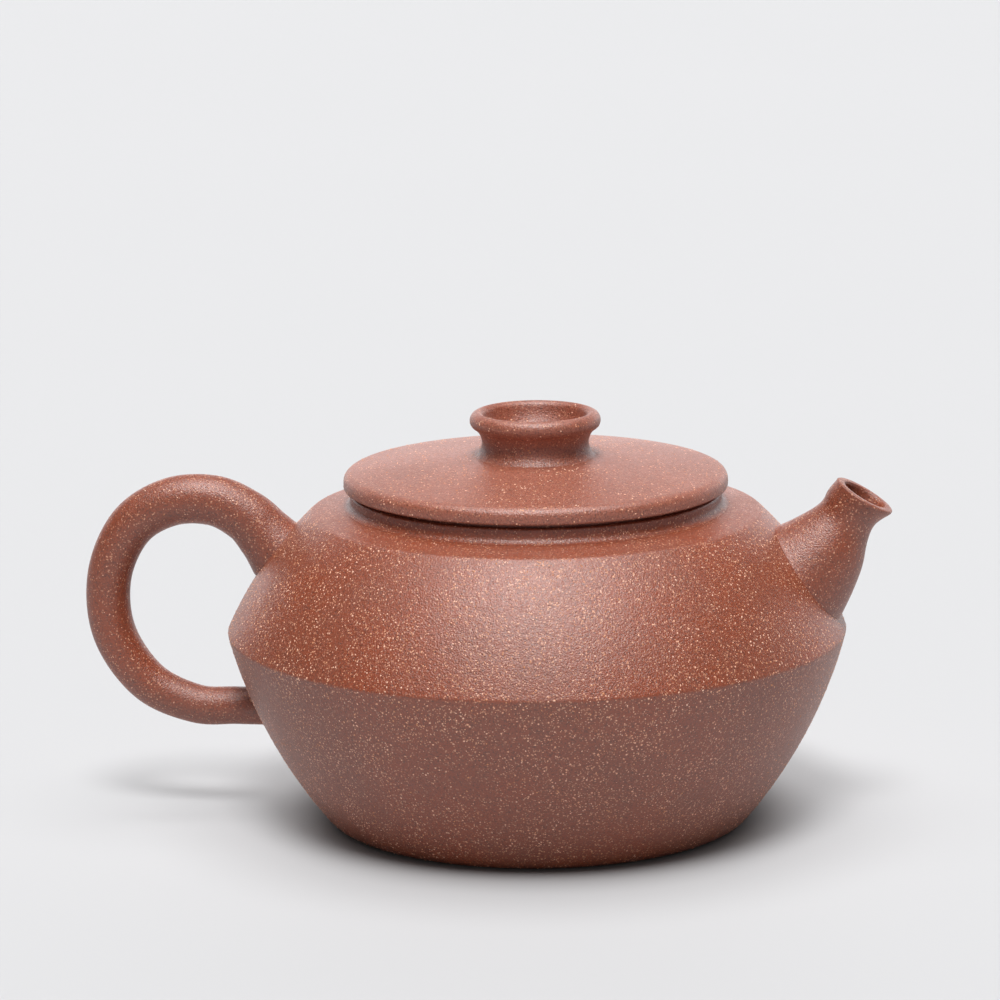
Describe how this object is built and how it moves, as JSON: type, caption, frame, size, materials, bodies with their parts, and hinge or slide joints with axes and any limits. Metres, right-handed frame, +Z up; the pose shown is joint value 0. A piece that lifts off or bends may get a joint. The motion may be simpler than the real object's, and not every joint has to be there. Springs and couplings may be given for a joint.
{
  "type": "teapot",
  "caption": "Low wide unglazed clay teapot: a body with a sharp girdle, a loop handle, a short spout with a ball strainer, and a flat lid with a ring knob that lifts out and turns.",
  "frame": {"origin": "on the pot's axis, in the plane of the foot that it stands on", "axes": "+Z up along the pot's axis, +X towards the spout, the handle at -X, the pot symmetric about Y = 0"},
  "size_m": [0.1366, 0.104, 0.0695],
  "materials": {
    "pot_clay": "satin",
    "lid_clay": "satin"
  },
  "bodies": {
    "pot": {"base_slab": "pot_clay", "lower_wall": "pot_clay", "upper_wall": "pot_clay", "shoulder_slab": "pot_clay", "mouth_ring": "pot_clay", "spout": "pot_clay", "strainer": "pot_clay", "handle": "pot_clay"},
    "flange": {"lid_flange": "lid_clay"},
    "lid": {"lid_dome": "lid_clay", "lid_seat_plate": "lid_clay", "knob": "lid_clay"}
  },
  "joints": [
    {"name": "lid_lift", "type": "slide", "parent": "pot", "child": "flange", "axis": [0, 0, 1], "range_m": [0, 0.08]},
    {"name": "lid_turn", "type": "hinge", "parent": "flange", "child": "lid", "pos_m": [0, 0, 0.0568], "axis": [0, 0, 1], "continuous": true}
  ]
}
